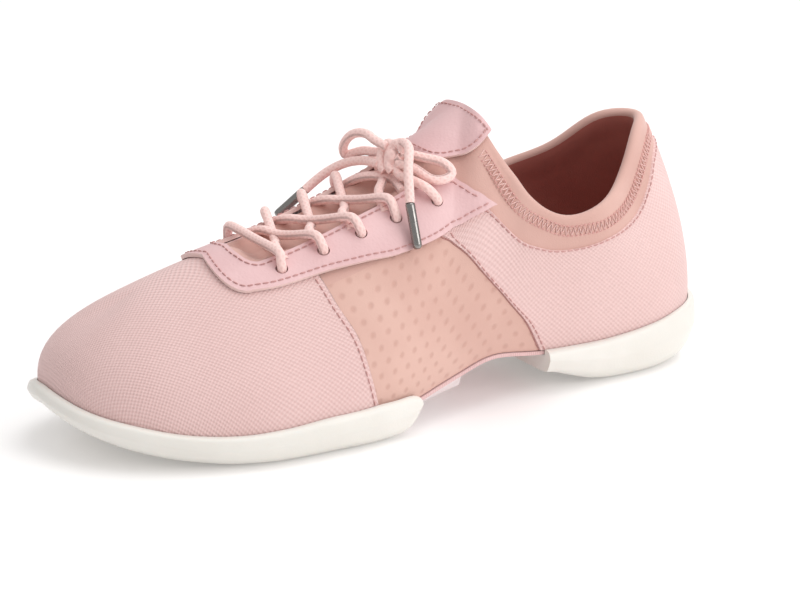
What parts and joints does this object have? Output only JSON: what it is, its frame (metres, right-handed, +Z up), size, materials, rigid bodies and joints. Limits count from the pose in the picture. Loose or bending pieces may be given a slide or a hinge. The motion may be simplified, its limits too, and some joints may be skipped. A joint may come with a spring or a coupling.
{
  "type": "dance sneaker",
  "caption": "Left low-heeled dance sneaker with a split rubber sole and free arch, a sock-like stretch collar and tongue, a leather eyestay and round laces tied in a bow.",
  "frame": {"origin": "on the floor, under the middle of the shoe's box", "axes": "+X to the toe, +Y to the outer side of the foot, +Z up"},
  "size_m": [0.2536, 0.09, 0.1001],
  "materials": {
    "canvas": "matt canvas and stretch neoprene",
    "leather": "smooth satin leather",
    "rubber": "smooth, slightly glossy",
    "board": "matt covered board",
    "lining": "soft matt lining",
    "lace": "round braid",
    "metal": "dark, polished"
  },
  "bodies": {
    "root": {"upper": "canvas", "arch_board": "board", "insole": "lining", "sole_forefoot": "rubber", "sole_heel": "rubber", "eyestay": "leather", "tongue_tab": "leather", "lace_bar": "lace", "lace_cross_1": "lace", "lace_cross_2": "lace", "lace_cross_3": "lace", "lace_cross_4": "lace", "lace_knot": "lace", "lace_loop_inner": "lace", "lace_loop_outer": "lace", "lace_end_inner": "lace", "lace_end_outer": "lace", "lace_tail_outer": "lace", "aglet_inner": "metal", "aglet_outer": "metal"}
  },
  "joints": []
}
